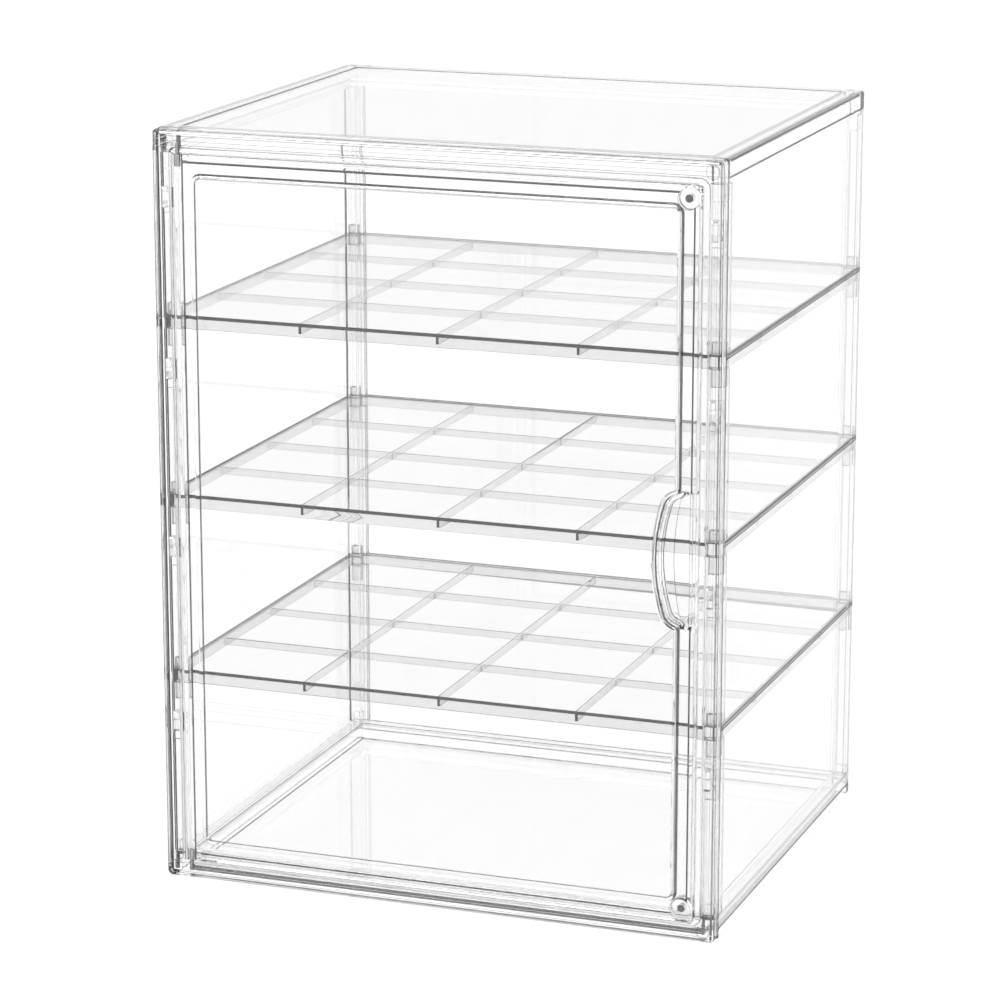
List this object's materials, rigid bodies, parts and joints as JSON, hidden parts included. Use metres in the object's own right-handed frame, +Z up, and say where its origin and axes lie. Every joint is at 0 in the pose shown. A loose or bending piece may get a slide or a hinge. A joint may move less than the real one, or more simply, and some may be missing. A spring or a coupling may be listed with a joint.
{
  "type": "nail polish display case",
  "caption": "Clear tiered countertop display case with ribbed shelves and a hinged magnetic front door, for nail polish bottles.",
  "frame": {"origin": "middle of the underside of the whole case, door included", "axes": "+Z up through the tiers, the front frame and door face -Y, +X to the right seen from the front"},
  "size_m": [0.32, 0.276, 0.421],
  "materials": {
    "frame_plastic": "clear polished moulding",
    "wall_plastic": "clear polished sheet moulding",
    "shelf_plastic": "clear polished ribbed moulding",
    "door_plastic": "clear polished moulding",
    "hinge_pin_steel": "drawn wire",
    "magnet_plating": "nickel plated"
  },
  "bodies": {
    "case": {"base_panel": "frame_plastic", "top_panel": "frame_plastic", "front_frame": "frame_plastic", "left_wall_1": "wall_plastic", "right_wall_1": "wall_plastic", "back_wall_1": "wall_plastic", "left_wall_2": "wall_plastic", "right_wall_2": "wall_plastic", "back_wall_2": "wall_plastic", "left_wall_3": "wall_plastic", "right_wall_3": "wall_plastic", "back_wall_3": "wall_plastic", "left_wall_4": "wall_plastic", "right_wall_4": "wall_plastic", "back_wall_4": "wall_plastic", "shelf_1": "shelf_plastic", "shelf_2": "shelf_plastic", "shelf_3": "shelf_plastic", "hinge_pin_top": "hinge_pin_steel", "hinge_pin_bottom": "hinge_pin_steel", "frame_magnet_top": "magnet_plating", "frame_magnet_bottom": "magnet_plating"},
    "door_leaf": {"door": "door_plastic", "door_magnet_top": "magnet_plating", "door_magnet_bottom": "magnet_plating"}
  },
  "joints": [
    {"name": "door_hinge", "type": "hinge", "parent": "case", "child": "door_leaf", "pos_m": [-0.1454, -0.1346, 0.209], "axis": [0, 0, -1], "range_deg": [0, 110]}
  ]
}
